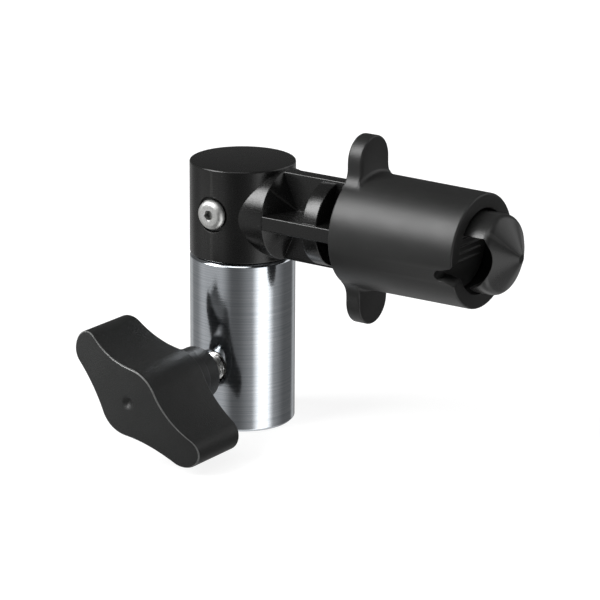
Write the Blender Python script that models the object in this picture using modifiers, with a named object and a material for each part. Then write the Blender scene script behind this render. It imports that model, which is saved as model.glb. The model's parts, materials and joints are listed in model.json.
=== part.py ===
"""Reflector clip bracket for a light stand, modelled in metres with +Z up.

A turned sleeve drops over a stand's stud and is held by a wing-knob screw. A swivel
head turns on a spigot above it. The head's ribbed arm ends in a hook, and a spring
pushes a two-eared collar forward to trap a reflector's rim in that hook.
Origin: centre of the sleeve's mouth. +Z runs up the post and +X along the arm.
"""
import math

import bmesh
import bpy
from mathutils import Euler, Vector

MM = 0.001
GAP = 0.3                 # air left between touching pieces, mm

# Driving dimensions, in millimetres
POST_R = 14.0             # outside radius of the sleeve and of the head
SOCKET_R = 8.15           # the sleeve's bore, for a 5/8 inch stud
SOCKET_DEPTH = 38.0       # mouth to the shoulder that the spigot's flange rests on
CEILING_Z = 36.5          # the spigot's lower face, which stops the stand's stud
SEAT_R = 9.3              # counterbore above it, for the spigot's flange
SLEEVE_TOP = 46.1
HEAD_TOP = 71.2
ARM_Z = 58.6              # height of the arm's axis
CLAMP_Z = 17.5            # height of the clamp screw's axis
STUD_R = 3.85             # M8 thread, crest radius
JOURNAL_R = 7.5           # the spigot's journal, on which the head turns
SPIGOT_TOP = 66.0
BOSS_R = 12.0             # the round boss where the arm leaves the head
BOSS_END = 14.5
RIB_HALF = 11.8           # the arm's ribs, half height
RIB_THICK = 3.8
ARM_END = 42.0
CORE_R = 5.2              # round core at the arm's end, which holds the rod
ROD_R = 3.0
COLLAR_REAR = 37.25
COLLAR_FRONT = 73.95
COLLAR_REAR_R = 15.1
COLLAR_FRONT_R = 14.8
COLLAR_REAR_BORE = 12.5
COLLAR_FRONT_BORE = 10.95
WEB_REAR = 56.5           # the collar's inner wall, which the spring pushes
WEB_FRONT = 59.0
EAR_TIP = 25.0            # from the collar's axis to an ear's tip
EAR_HALF = 6.5
EAR_THICK = 4.25
EAR_FILLET = 5.5
TIP_R = 10.3
TIP_SHOULDER = 80.1       # where the nose's cone would meet its side, before rounding
TIP_SHOULDER_R = 2.5
TIP_APEX = 85.4
SLOT_REAR = 68.5          # the hook's slot: its rear wall, its roof and its round front
SLOT_ROOF = 5.9
SLOT_FRONT_R = 8.2
SLOT_FRONT_X = 73.3
SLOT_FRONT_Z = 0.4
NOTCH_TILT = math.radians(14.3)   # the collar's two rim notches face -Y, this far below level, and +Y
KNOB_FACE = 50.0          # from the post's axis to the knob's face
KNOB_BACK = 28.5
KNOB_BOSS_END = 19.9
KNOB_TILT = math.radians(-35.4)
SCREW_Z = 59.1            # height of the screw that keeps the head on the spigot

PARTS_NAME = "reflector_clip_bracket"
CUTTERS_NAME = "cutters"

# Local +Z of each placement is the axis that its pieces are turned about
POST = (Vector((0, 0, 0)), Euler((0, 0, 0)))
ARM = (Vector((0, 0, ARM_Z * MM)), Euler((0, math.pi / 2, 0)))
CLAMP = (Vector((0, 0, CLAMP_Z * MM)), Euler((math.pi / 2, 0, 0)))
SCREW = (Vector((0, 0, SCREW_Z * MM)), Euler((math.pi / 2, 0, 0)))


def clear_scene():
    for obj in list(bpy.data.objects):
        bpy.data.objects.remove(obj, do_unlink=True)


def collection(name):
    found = bpy.data.collections.get(name) or bpy.data.collections.new(name)
    if name not in bpy.context.scene.collection.children:
        bpy.context.scene.collection.children.link(found)
    return found


def material(name, color, roughness, metallic=0.0):
    mat = bpy.data.materials.get(name) or bpy.data.materials.new(name)
    mat.use_nodes = True
    shader = mat.node_tree.nodes["Principled BSDF"]
    shader.inputs["Base Color"].default_value = (*color, 1.0)
    shader.inputs["Roughness"].default_value = roughness
    shader.inputs["Metallic"].default_value = metallic
    mat.diffuse_color = (*color, 1.0)
    return mat


def chrome():
    return material("turned_chrome", (0.62, 0.64, 0.67), 0.22, 1.0)


def bright_steel():
    return material("bright_steel", (0.66, 0.66, 0.64), 0.3, 1.0)


def gloss_black():
    return material("gloss_black_moulding", (0.012, 0.012, 0.013), 0.25)


def satin_black():
    return material("satin_black_moulding", (0.03, 0.031, 0.032), 0.45)


def knob_black():
    return material("textured_black_moulding", (0.035, 0.036, 0.036), 0.6)


def brass():
    return material("brass", (0.72, 0.53, 0.24), 0.35, 1.0)


def spring_steel():
    return material("spring_steel", (0.5, 0.5, 0.5), 0.35, 1.0)


def nylon():
    return material("white_nylon", (0.78, 0.77, 0.72), 0.5)


def nitrile():
    return material("nitrile_rubber", (0.02, 0.02, 0.02), 0.7)


def add_object(name, data, place, group=CUTTERS_NAME):
    obj = bpy.data.objects.new(name, data)
    obj.location, obj.rotation_euler = place
    collection(group).objects.link(obj)
    if group == CUTTERS_NAME:
        obj.hide_render = True
        obj.display_type = "WIRE"
    return obj


def turned(name, profile, place, segments=48, ring=False):
    """A profile of (radius, height) turned about the placement's axis.

    The points run down the outer side; a ring's profile closes on itself."""
    mesh = bpy.data.meshes.new(name)
    points = [(radius * MM, 0.0, height * MM) for radius, height in profile]
    edges = [(i, i + 1) for i in range(len(points) - 1)]
    if ring:
        edges.append((len(points) - 1, 0))
    mesh.from_pydata(points, edges, [])
    obj = add_object(name, mesh, place)
    screw = obj.modifiers.new("turn", "SCREW")
    screw.steps = segments
    screw.render_steps = segments
    screw.use_merge_vertices = True
    screw.merge_threshold = 0.00001
    return obj


def rod(name, radius, low, high, place, chamfer=0.0, segments=32):
    """A solid round bar between two heights of its placement."""
    if chamfer:
        side = [(radius - chamfer, high), (radius, high - chamfer), (radius, low + chamfer),
                (radius - chamfer, low)]
    else:
        side = [(radius, high), (radius, low)]
    return turned(name, [(0, high), *side, (0, low)], place, segments)


def ring(name, inner, outer, low, high, place, segments=40):
    profile = [(inner, high), (outer, high), (outer, low), (inner, low)]
    return turned(name, profile, place, segments, ring=True)


def block(name, low, high, bevel=0.0):
    """A box between two corners given in millimetres of the world."""
    mesh = bpy.data.meshes.new(name)
    shape = bmesh.new()
    bmesh.ops.create_cube(shape, size=1.0)
    size = [(b - a) * MM for a, b in zip(low, high)]
    bmesh.ops.scale(shape, vec=size, verts=shape.verts)
    shape.to_mesh(mesh)
    shape.free()
    obj = add_object(name, mesh, POST)
    obj.location = [(a + b) / 2 * MM for a, b in zip(low, high)]
    if bevel:
        soften(obj, bevel)
    return obj


def plate(name, outline, low, high, place):
    """A flat outline, in the placement's X and Y, between two of its heights."""
    curve = bpy.data.curves.new(name, "CURVE")
    curve.dimensions = "2D"
    curve.fill_mode = "BOTH"
    curve.extrude = (high - low) / 2 * MM
    spline = curve.splines.new("POLY")
    spline.points.add(len(outline) - 1)
    for point, (x, y) in zip(spline.points, outline):
        point.co = (x * MM, y * MM, 0.0, 1.0)
    spline.use_cyclic_u = True
    guide = add_object(name + "_outline", curve, place)
    shape = bmesh.new()
    shape.from_mesh(evaluated_mesh(guide))
    bpy.data.objects.remove(guide)
    bmesh.ops.remove_doubles(shape, verts=shape.verts, dist=0.000001)
    bmesh.ops.translate(shape, vec=(0, 0, (low + high) / 2 * MM), verts=shape.verts)
    bmesh.ops.recalc_face_normals(shape, faces=shape.faces)
    mesh = bpy.data.meshes.new(name)
    shape.to_mesh(mesh)
    shape.free()
    return add_object(name, mesh, place)


def loft(name, rings, place):
    """A closed skin through rings of equally many points, with flat ends."""
    mesh = bpy.data.meshes.new(name)
    shape = bmesh.new()
    rows = [[shape.verts.new([c * MM for c in point]) for point in ring_points] for ring_points in rings]
    count = len(rows[0])
    for row, following in zip(rows, rows[1:]):
        for i in range(count):
            j = (i + 1) % count
            shape.faces.new((row[i], row[j], following[j], following[i]))
    shape.faces.new(rows[0])
    shape.faces.new(rows[-1])
    bmesh.ops.recalc_face_normals(shape, faces=shape.faces)
    shape.to_mesh(mesh)
    shape.free()
    return add_object(name, mesh, place)


def evaluated_mesh(obj):
    bpy.context.view_layer.update()
    graph = bpy.context.evaluated_depsgraph_get()
    return bpy.data.meshes.new_from_object(obj.evaluated_get(graph), depsgraph=graph)


def combine(obj, tool, operation):
    step = obj.modifiers.new(operation.lower() + "_" + tool.name, "BOOLEAN")
    step.operation = operation
    step.solver = "EXACT"
    step.object = tool


def cut(obj, *tools):
    for tool in tools:
        combine(obj, tool, "DIFFERENCE")


def join(obj, *tools):
    for tool in tools:
        combine(obj, tool, "UNION")


def soften(obj, width, segments=2, angle=40):
    bevel = obj.modifiers.new("soften", "BEVEL")
    bevel.width = width * MM
    bevel.segments = segments
    bevel.limit_method = "ANGLE"
    bevel.angle_limit = math.radians(angle)


def finish(obj, mat):
    """Fix the piece's shape, shade it and put it among the parts."""
    mesh = evaluated_mesh(obj)
    obj.modifiers.clear()
    obj.data = mesh
    mesh.name = obj.name
    mesh.shade_smooth()
    mesh.set_sharp_from_angle(angle=math.radians(35))
    mesh.materials.clear()
    mesh.materials.append(mat)
    obj.hide_render = False
    obj.display_type = "TEXTURED"
    collection(CUTTERS_NAME).objects.unlink(obj)
    collection(PARTS_NAME).objects.link(obj)
    return obj


def arc(cx, cy, radius, start, end, steps):
    """Points on an arc, angles in degrees, both ends included."""
    angles = [math.radians(start + (end - start) * i / steps) for i in range(steps + 1)]
    return [(cx + radius * math.cos(a), cy + radius * math.sin(a)) for a in angles]


# ---------------------------------------------------------------- stand sleeve and spigot

def stand_sleeve():
    chamfer = 0.7
    profile = [(SEAT_R, SLEEVE_TOP), (POST_R - chamfer, SLEEVE_TOP),
               (POST_R, SLEEVE_TOP - chamfer), (POST_R, chamfer),
               (POST_R - chamfer, 0), (SOCKET_R + 0.8, 0), (SOCKET_R, 0.8),
               (SOCKET_R, SOCKET_DEPTH), (SEAT_R, SOCKET_DEPTH)]
    sleeve = turned("stand_sleeve", profile, POST, segments=64, ring=True)
    cut(sleeve, rod("clamp_hole", STUD_R + GAP, 5.0, 20.0, CLAMP))
    return finish(sleeve, chrome())


def pivot_spigot():
    flange_r = SEAT_R - GAP
    pilot_r = SOCKET_R - GAP
    groove_r = 6.0
    groove_half = 2.5
    seal_r = 6.2
    seal_low, seal_high = 62.6, 64.4
    profile = [(0, SPIGOT_TOP), (JOURNAL_R - 0.6, SPIGOT_TOP), (JOURNAL_R, SPIGOT_TOP - 0.6),
               (JOURNAL_R, seal_high), (seal_r, seal_high), (seal_r, seal_low),
               (JOURNAL_R, seal_low), (JOURNAL_R, SCREW_Z + groove_half),
               (groove_r, SCREW_Z + groove_half), (groove_r, SCREW_Z - groove_half),
               (JOURNAL_R, SCREW_Z - groove_half), (JOURNAL_R, SLEEVE_TOP),
               (flange_r, SLEEVE_TOP), (flange_r, SOCKET_DEPTH + GAP),
               (pilot_r, SOCKET_DEPTH + GAP), (pilot_r, CEILING_Z), (0, CEILING_Z)]
    return finish(turned("pivot_spigot", profile, POST), bright_steel())


def friction_ring():
    centre_r = 7.0
    section_r = 0.5
    section = arc(centre_r, 63.5, section_r, 90, -270, 8)[:-1]
    return finish(turned("friction_ring", section, POST, segments=32, ring=True), nitrile())


def thrust_washer():
    washer = ring("thrust_washer", JOURNAL_R + 0.35, 11.0, SLEEVE_TOP + GAP, SLEEVE_TOP + 1.3, POST)
    return finish(washer, nylon())


# ---------------------------------------------------------------- clamp screw and knob

def clamp_pad():
    """A brass shoe that bears on the stand's stud and doesn't turn with the screw."""
    face = SOCKET_R + 0.2
    profile = [(0, 12.0), (1.3, 12.0), (1.3, 9.7), (3.0, 9.7), (3.0, face + 0.3), (2.7, face), (0, face)]
    return finish(turned("clamp_pad", profile, CLAMP, segments=24), brass())


def clamp_stud():
    """A threaded stud whose hexagon head is moulded into the knob."""
    inner_end = 10.0
    head_low, head_high = 33.0, 38.0
    stud = rod("clamp_stud", STUD_R, inner_end, head_low + 0.5, CLAMP, chamfer=0.5)
    join(stud, hexagon("stud_head", 13.0, head_low, head_high, CLAMP))
    cut(stud, rod("pad_hole", 1.6, inner_end - 1, 12.4, CLAMP, segments=24))
    return finish(stud, bright_steel())


def hexagon(name, across_flats, low, high, place):
    radius = across_flats / 2 / math.cos(math.pi / 6)
    corners = [(radius * math.cos(i * math.pi / 3), radius * math.sin(i * math.pi / 3)) for i in range(6)]
    return plate(name, corners, low, high, place)


def knob_outline(steps):
    """A round hub drawn out into two wings by arcs tangent to hub and wing tips."""
    hub_r, tip_r, reach, hollow_r = 9.2, 4.3, 19.0, 30.0
    cx = ((hub_r + hollow_r) ** 2 - (tip_r + hollow_r) ** 2 + reach ** 2) / (2 * reach)
    cy = math.sqrt((hub_r + hollow_r) ** 2 - cx ** 2)
    hub_angle = math.degrees(math.atan2(cy, cx))
    tip_angle = math.degrees(math.atan2(cy, cx - reach))
    quarter = arc(reach, 0, tip_r, 0, tip_angle, steps)
    quarter += arc(cx, cy, hollow_r, tip_angle - 180, hub_angle - 180, steps)[1:]
    quarter += arc(0, 0, hub_r, hub_angle, 90, steps // 2)[1:]
    half = quarter + [(-x, y) for x, y in reversed(quarter[:-1])]
    return half + [(-x, -y) for x, y in half[1:-1]]


def knob_grip():
    """Wing knob: crowned front face, rounded edges, a dimple and a round boss behind."""
    crown = 3.6
    half_length = 22.0
    edge = 0.9
    dimple_r, dimple_depth = 1.9, 0.9
    outline = knob_outline(8)

    def section(scale, inset, setback):
        points = []
        for x, y in outline:
            length = math.hypot(x, y)
            k = scale * (length - inset) / length
            u, v = x * k, y * k
            depth = setback - crown * (u / half_length) ** 2
            points.append((*turn(u, v), KNOB_FACE + depth))
        return points

    def turn(u, v):
        """The wings' long axis is tilted about the screw's axis."""
        return (u * math.cos(KNOB_TILT) - v * math.sin(KNOB_TILT),
                u * math.sin(KNOB_TILT) + v * math.cos(KNOB_TILT))

    def circle(radius, depth):
        points = []
        for x, y in outline:
            angle = math.atan2(y, x)
            points.append((*turn(radius * math.cos(angle), radius * math.sin(angle)), KNOB_FACE + depth))
        return points

    def flat(inset, height):
        return [(x, y, height) for x, y, _ in section(1.0, inset, 0.0)]

    rings = [circle(0.15, -dimple_depth), circle(dimple_r, 0.0)]
    rings += [section(0.35, edge, 0.0), section(0.6, edge, 0.0), section(0.82, edge, 0.0)]
    rings += [section(1.0, edge, 0.0), section(1.0, edge * 0.3, -edge * 0.3), section(1.0, 0.0, -edge)]
    rings += [flat(0.0, KNOB_BACK + edge), flat(edge * 0.3, KNOB_BACK + edge * 0.3), flat(edge, KNOB_BACK)]
    knob = loft("knob_grip", rings, CLAMP)
    boss = [(0, KNOB_BACK + 3), (7.6, KNOB_BACK + 3), (7.6, 24.6), (7.2, 24.2),
            (7.25, KNOB_BOSS_END + 0.5), (6.8, KNOB_BOSS_END), (0, KNOB_BOSS_END)]
    join(knob, turned("knob_boss", boss, CLAMP))
    cut(knob, rod("stud_hole", STUD_R + GAP, KNOB_BOSS_END - 2, 34.0, CLAMP),
        hexagon("stud_head_pocket", 13.0 + 2 * GAP, 33.0 - GAP, 38.0 + GAP, CLAMP))
    return finish(knob, knob_black())


# ---------------------------------------------------------------- swivel head and its arm

def head_body():
    edge = 0.5
    low = SLEEVE_TOP + GAP
    profile = [(0, HEAD_TOP), *reversed(arc(POST_R - edge, HEAD_TOP - edge, edge, 0, 90, 3)),
               (POST_R, low + 0.3), (POST_R - 0.3, low), (0, low)]
    return turned("swivel_head", profile, POST, segments=64)


def arm_core():
    """Boss, cone, disc and end core of the arm, turned about its axis."""
    thin = 1.5
    disc_r = 11.2
    disc_rear, disc_front = 26.5, 31.0
    profile = [(0, ARM_END), (CORE_R - 0.4, ARM_END), (CORE_R, ARM_END - 0.4), (CORE_R, disc_front),
               (disc_r - 0.3, disc_front), (disc_r, disc_front - 0.3), (disc_r, disc_rear + 0.3),
               (disc_r - 0.3, disc_rear), (thin, disc_rear), (thin, 19.5),
               (BOSS_R - 0.3, BOSS_END + 0.1), (BOSS_R, BOSS_END - 0.25), (BOSS_R, 4.0), (0, 4.0)]
    return turned("arm_core", profile, ARM, segments=56)


def arm_ribs():
    half = RIB_THICK / 2
    upright = block("arm_rib_upright", (8.0, -half, ARM_Z - RIB_HALF),
                    (ARM_END - 0.3, half, ARM_Z + RIB_HALF), bevel=0.3)
    level = block("arm_rib_level", (8.5, -RIB_HALF, ARM_Z - half),
                  (ARM_END - 0.5, RIB_HALF, ARM_Z + half), bevel=0.3)
    return upright, level


def swivel_head():
    head = head_body()
    join(head, arm_core(), *arm_ribs())
    bore = [(0, SPIGOT_TOP + 0.5), (JOURNAL_R + GAP, SPIGOT_TOP + 0.5), (JOURNAL_R + GAP, 47.8),
            (11.4, 47.8), (11.4, 44.0), (0, 44.0)]
    screw_hole = [(0, 18.0), (4.6, 18.0), (4.6, 13.0), (2.35, 13.0), (2.35, 12.3), (3.5, 12.3),
                  (3.5, 5.0), (0, 5.0)]
    cut(head, turned("head_bore", bore, POST, segments=48),
        turned("screw_hole", screw_hole, SCREW, segments=32),
        rod("rod_hole", ROD_R + GAP, 32.0, ARM_END + 2, ARM))
    return finish(head, gloss_black())


def retaining_screw():
    """Button-head hexagon-socket screw whose end rides in the spigot's groove."""
    seat = 13.0 + GAP
    head_r, head_height = 4.0, 2.0
    dome = [(head_r - 0.1, seat + 0.8), (3.6, seat + 1.35), (3.1, seat + 1.8), (2.5, seat + head_height)]
    profile = [(0, seat + head_height), *reversed(dome), (head_r, seat + 0.35), (head_r - 0.1, seat),
               (2.0, seat), (2.0, 7.1), (1.6, 6.6), (0, 6.6)]
    screw = turned("retaining_screw", profile, SCREW, segments=32)
    cut(screw, hexagon("hex_socket", 2.5, seat + 0.4, seat + 4, SCREW))
    return finish(screw, bright_steel())


def screw_insert():
    return finish(ring("screw_insert", 2.3, 3.2, 8.3, 12.0, SCREW, segments=24), brass())


# ---------------------------------------------------------------- spring clip

def core_rod():
    bar = rod("core_rod", ROD_R, 32.3, 66.5, ARM, chamfer=0.4)
    cut(bar, pin_hole("rod_pin_hole", 1.5))
    return finish(bar, bright_steel())


def pin_hole(name, radius, reach=14.0):
    place = (Vector((63.5 * MM, 0, ARM_Z * MM)), Euler((0, 0, 0)))
    return rod(name, radius, -reach, reach, place, segments=16)


def tip_pin():
    return finish(pin_hole("tip_pin", 1.2, reach=9.6), spring_steel())


def spring_seats():
    rear = ring("spring_seat_rear", ROD_R + GAP, 9.6, ARM_END + GAP, ARM_END + 1.1, ARM)
    front = ring("spring_seat_front", ROD_R + GAP, 9.6, WEB_REAR - 1.1, WEB_REAR - GAP, ARM)
    return finish(rear, bright_steel()), finish(front, bright_steel())


def clip_spring():
    """Compression spring around the rod, with closed end turns."""
    wire_r, coil_r = 0.4, 6.4
    low = ARM_END + 1.4 + wire_r
    high = WEB_REAR - 1.4 - wire_r
    end_turns, turns, steps = 0.8, 4.6, 14
    pitch_at_end = 2 * wire_r + 0.1
    open_turns = turns - 2 * end_turns
    open_pitch = (high - low - 2 * end_turns * pitch_at_end) / open_turns
    curve = bpy.data.curves.new("clip_spring", "CURVE")
    curve.dimensions = "3D"
    curve.bevel_depth = wire_r * MM
    curve.bevel_resolution = 2
    curve.use_fill_caps = True
    spline = curve.splines.new("POLY")
    count = int(turns * steps)
    spline.points.add(count)
    height = low
    for i in range(count + 1):
        turn = i / steps
        angle = turn * 2 * math.pi
        spline.points[i].co = (coil_r * MM * math.cos(angle), coil_r * MM * math.sin(angle), height * MM, 1)
        closed = turn < end_turns or turn >= turns - end_turns
        height += (pitch_at_end if closed else open_pitch) / steps
    guide = add_object("spring_wire", curve, ARM)
    shape = bmesh.new()
    shape.from_mesh(evaluated_mesh(guide))
    bmesh.ops.remove_doubles(shape, verts=shape.verts, dist=0.000001)
    mesh = bpy.data.meshes.new("clip_spring")
    shape.to_mesh(mesh)
    shape.free()
    bpy.data.objects.remove(guide)
    return finish(add_object("clip_spring", mesh, ARM), spring_steel())


def collar_radius(angle, barrel_r, ear_inset=0.0):
    """Distance from the axis to the collar's outline; angle 0 points at the upper ear."""
    a = abs((angle + math.pi / 2) % math.pi - math.pi / 2)
    half = EAR_HALF - ear_inset
    tip = EAR_TIP - ear_inset
    centre = tip - half
    fillet = EAR_FILLET + ear_inset
    fillet_y = half + fillet
    fillet_z = math.sqrt((COLLAR_REAR_R + fillet) ** 2 - fillet_y ** 2)
    if a < math.atan2(half, centre):
        return centre * math.cos(a) + math.sqrt(half ** 2 - (centre * math.sin(a)) ** 2)
    if a < math.atan2(half, fillet_z):
        return half / math.sin(a)
    if a < math.atan2(fillet_y, fillet_z):
        along = fillet_y * math.sin(a) + fillet_z * math.cos(a)
        return along - math.sqrt(max(fillet ** 2 - fillet_y ** 2 - fillet_z ** 2 + along ** 2, 0.0))
    return barrel_r


def collar_angles():
    """Bearings of the outline's points, close together round each ear."""
    quarter = [i * 4.5 for i in range(12)] + [54 + i * 6 for i in range(6)]
    half = quarter + [90.0] + [180 - a for a in reversed(quarter[1:])]
    return [math.radians(a) for a in half + [a + 180 for a in half]]


def pull_collar():
    """Barrel with two finger ears at its rear, notched at its front for the rim."""
    edge = 0.5
    angles = collar_angles()
    rear = COLLAR_REAR
    ear_front = rear + EAR_THICK

    def outline(x, barrel_r, ear_limit=EAR_TIP, inset=0.0):
        points = []
        for a in angles:
            ear_r = min(collar_radius(a, barrel_r, inset), ear_limit)
            radius = max(ear_r, barrel_r)
            points.append((-radius * math.cos(a), radius * math.sin(a), x))
        return points

    rings = [outline(rear, COLLAR_REAR_R - edge, inset=edge),
             outline(rear + edge * 0.3, COLLAR_REAR_R - edge * 0.3, inset=edge * 0.3),
             outline(rear + edge, COLLAR_REAR_R),
             outline(ear_front - edge, COLLAR_REAR_R),
             outline(ear_front - edge * 0.3, COLLAR_REAR_R, inset=edge * 0.3),
             outline(ear_front, COLLAR_REAR_R, inset=edge),
             outline(ear_front + 0.1, COLLAR_REAR_R, ear_limit=COLLAR_REAR_R + 1.2),
             outline(ear_front + 0.5, COLLAR_REAR_R, ear_limit=COLLAR_REAR_R + 0.45),
             outline(ear_front + 1.3, COLLAR_REAR_R, ear_limit=0.0),
             outline(COLLAR_FRONT - edge, COLLAR_FRONT_R, ear_limit=0.0),
             outline(COLLAR_FRONT, COLLAR_FRONT_R - edge, ear_limit=0.0)]
    collar = loft("pull_collar", rings, ARM)
    bore = [(0, COLLAR_FRONT + 2), (COLLAR_FRONT_BORE, COLLAR_FRONT + 2), (COLLAR_FRONT_BORE, WEB_FRONT),
            (ROD_R + GAP, WEB_FRONT), (ROD_R + GAP, WEB_REAR), (COLLAR_REAR_BORE, WEB_REAR),
            (COLLAR_REAR_BORE, COLLAR_REAR - 2), (0, COLLAR_REAR - 2)]
    cut(collar, turned("collar_bore", bore, ARM), rim_notch())
    return finish(collar, satin_black())


def rim_notch():
    """Flared notches on opposite sides of the collar's mouth, cut through its axis."""
    end_r = 1.5
    mouth_half = 2.35
    end_x = COLLAR_FRONT - 5.2 + end_r
    flare = COLLAR_FRONT + 1.0
    outline = [(flare, -mouth_half), (flare, mouth_half), *arc(end_x, 0, end_r, 80, 280, 8)]
    place = (Vector((0, 0, ARM_Z * MM)), Euler((math.pi / 2 + NOTCH_TILT, 0, 0)))
    return plate("rim_notch", outline, -20, 20, place)


def hook_tip():
    """The nose: a plug whose cross slot leaves a hook under a shallow round cone."""
    rear = WEB_FRONT + GAP
    slope = math.degrees(math.atan2(TIP_R - 1.2, TIP_APEX - 0.15 - TIP_SHOULDER))
    set_back = TIP_SHOULDER_R * math.tan(math.radians(90 - slope) / 2)
    shoulder = arc(TIP_R - TIP_SHOULDER_R, TIP_SHOULDER - set_back, TIP_SHOULDER_R, 0, slope, 4)
    profile = [(0, TIP_APEX), (0.7, TIP_APEX - 0.05), (1.2, TIP_APEX - 0.15), *reversed(shoulder),
               (TIP_R, rear + 0.5), (TIP_R - 0.5, rear), (0, rear)]
    tip = turned("hook_tip", profile, ARM, segments=56)
    cut(tip, hook_slot())
    join(tip, *grip_ridges())
    cut(tip, rod("tip_rod_hole", ROD_R + GAP, rear - 2, 66.8, ARM), pin_hole("tip_pin_hole", 1.5))
    return finish(tip, gloss_black())


def hook_slot():
    """Flat roof, round front, and a mouth that opens downwards behind the hook's beak."""
    roof_x = SLOT_FRONT_X + math.sqrt(SLOT_FRONT_R ** 2 - (SLOT_ROOF - SLOT_FRONT_Z) ** 2)
    roof_angle = math.degrees(math.atan2(SLOT_ROOF - SLOT_FRONT_Z, roof_x - SLOT_FRONT_X))
    front = arc(SLOT_FRONT_X, SLOT_FRONT_Z, SLOT_FRONT_R, roof_angle, -82, 14)
    below = -TIP_R - 2
    outline = [(SLOT_REAR, SLOT_ROOF), *front, (front[-1][0] - 0.3, below), (SLOT_REAR, below)]
    place = (Vector((0, 0, ARM_Z * MM)), Euler((math.pi / 2, 0, 0)))
    return plate("hook_slot", outline, -16, 16, place)


def grip_ridges():
    """Fine ridges across the slot's rear wall."""
    height, half = 0.6, 0.45
    ridges = []
    for i in range(4):
        z = -3.0 + i * 1.8
        outline = [(SLOT_REAR - 0.5, z - half), (SLOT_REAR + height, z), (SLOT_REAR - 0.5, z + half)]
        place = (Vector((0, 0, ARM_Z * MM)), Euler((math.pi / 2, 0, 0)))
        ridges.append(plate("grip_ridge_%d" % (i + 1), outline, -7.5, 7.5, place))
    return ridges


def build():
    clear_scene()
    stand_sleeve()
    pivot_spigot()
    friction_ring()
    thrust_washer()
    clamp_pad()
    clamp_stud()
    knob_grip()
    swivel_head()
    retaining_screw()
    screw_insert()
    core_rod()
    tip_pin()
    spring_seats()
    clip_spring()
    pull_collar()
    hook_tip()


build()
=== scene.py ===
"""Looks of a reflector clip bracket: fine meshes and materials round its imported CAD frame.

Each piece is a finer version of the CAD node that it replaces and rides on that node's body.
Sizes are millimetres, turned into metres by MM. The origin is the centre of the sleeve's
mouth, +Z runs up the post and +X along the arm, as in the frame.
"""
import json
import math

import bmesh
import bpy
from mathutils import Matrix, Vector


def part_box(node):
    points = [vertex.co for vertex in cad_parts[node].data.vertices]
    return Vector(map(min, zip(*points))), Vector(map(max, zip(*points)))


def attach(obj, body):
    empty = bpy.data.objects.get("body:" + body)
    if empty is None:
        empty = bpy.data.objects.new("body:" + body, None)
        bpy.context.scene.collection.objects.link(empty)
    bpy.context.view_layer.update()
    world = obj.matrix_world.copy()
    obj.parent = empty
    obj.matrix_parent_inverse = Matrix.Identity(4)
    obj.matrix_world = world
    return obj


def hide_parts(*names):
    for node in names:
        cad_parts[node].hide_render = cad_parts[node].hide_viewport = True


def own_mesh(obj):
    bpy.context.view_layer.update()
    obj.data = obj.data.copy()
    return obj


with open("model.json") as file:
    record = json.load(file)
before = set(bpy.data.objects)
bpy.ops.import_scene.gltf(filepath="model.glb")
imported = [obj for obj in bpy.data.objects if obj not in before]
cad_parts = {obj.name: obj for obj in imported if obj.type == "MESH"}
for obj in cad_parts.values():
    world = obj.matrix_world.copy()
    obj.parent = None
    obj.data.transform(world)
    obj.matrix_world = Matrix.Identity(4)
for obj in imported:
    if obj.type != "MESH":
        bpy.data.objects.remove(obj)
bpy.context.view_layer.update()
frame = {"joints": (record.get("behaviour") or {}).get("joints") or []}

MM = 0.001
GAP = 0.3                 # air between touching pieces


def box_mm(node):
    low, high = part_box(node)
    return low / MM, high / MM


def joint_place(name):
    place = next(j for j in frame["joints"] if j["name"] == name)["pos_m"]
    return Vector(place) / MM


# Read from the frame
POST_R = box_mm("stand_sleeve")[1].x
SLEEVE_TOP = box_mm("stand_sleeve")[1].z
HEAD_LOW = box_mm("swivel_head")[0].z
HEAD_TOP = box_mm("swivel_head")[1].z
ARM_END = box_mm("swivel_head")[1].x
ARM_Z = joint_place("head_swivel").z
CLAMP_Z = joint_place("knob_turn").z
KNOB_FACE = -box_mm("knob_grip")[0].y
KNOB_BOSS_END = -box_mm("knob_grip")[1].y
COLLAR_REAR = box_mm("pull_collar")[0].x
COLLAR_FRONT = box_mm("pull_collar")[1].x
EAR_TIP = box_mm("pull_collar")[1].z - ARM_Z
TIP_APEX = box_mm("hook_tip")[1].x
TIP_R = box_mm("hook_tip")[1].y
SPRING_REAR = box_mm("clip_spring")[0].x
SPRING_FRONT = box_mm("clip_spring")[1].x
CEILING_Z = box_mm("pivot_spigot")[0].z
SPIGOT_TOP = box_mm("pivot_spigot")[1].z

# The CAD's inner dimensions, which the pieces repeat
SOCKET_R = 8.15
SOCKET_DEPTH = 38.0
SEAT_R = 9.3
STUD_R = 3.85
THREAD_PITCH = 1.25
THREAD_DEPTH = 0.6134 * THREAD_PITCH      # of a metric external thread
JOURNAL_R = 7.5
BOSS_R = 12.0
BOSS_END = 14.5
RIB_HALF = 11.8
RIB_THICK = 3.8
CORE_R = 5.2
ROD_R = 3.0
COLLAR_REAR_R = 15.1
COLLAR_FRONT_R = 14.8
COLLAR_REAR_BORE = 12.5
COLLAR_FRONT_BORE = 10.95
WEB_REAR = 56.5
WEB_FRONT = 59.0
EAR_HALF = 6.5
EAR_THICK = 4.25
EAR_FILLET = 5.5
TIP_SHOULDER = 80.1       # where the nose's cone would meet its side, before rounding
TIP_SHOULDER_R = 2.5
SLOT_REAR = 68.5
SLOT_ROOF = 5.9
SLOT_FRONT_R = 8.2
SLOT_FRONT_X = 73.3
SLOT_FRONT_Z = 0.4
NOTCH_TILT = math.radians(14.3)
KNOB_BACK = 28.5
KNOB_TILT = math.radians(-35.4)
HEX_LOW = 33.0            # the stud's hexagon head, moulded into the knob
HEX_HIGH = 38.0
HEX_FLATS = 13.0
SCREW_Z = 59.1
SCREW_SEAT = 13.0
ROD_REAR = 32.3
ROD_FRONT = 66.5
PIN_X = 63.5
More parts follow.
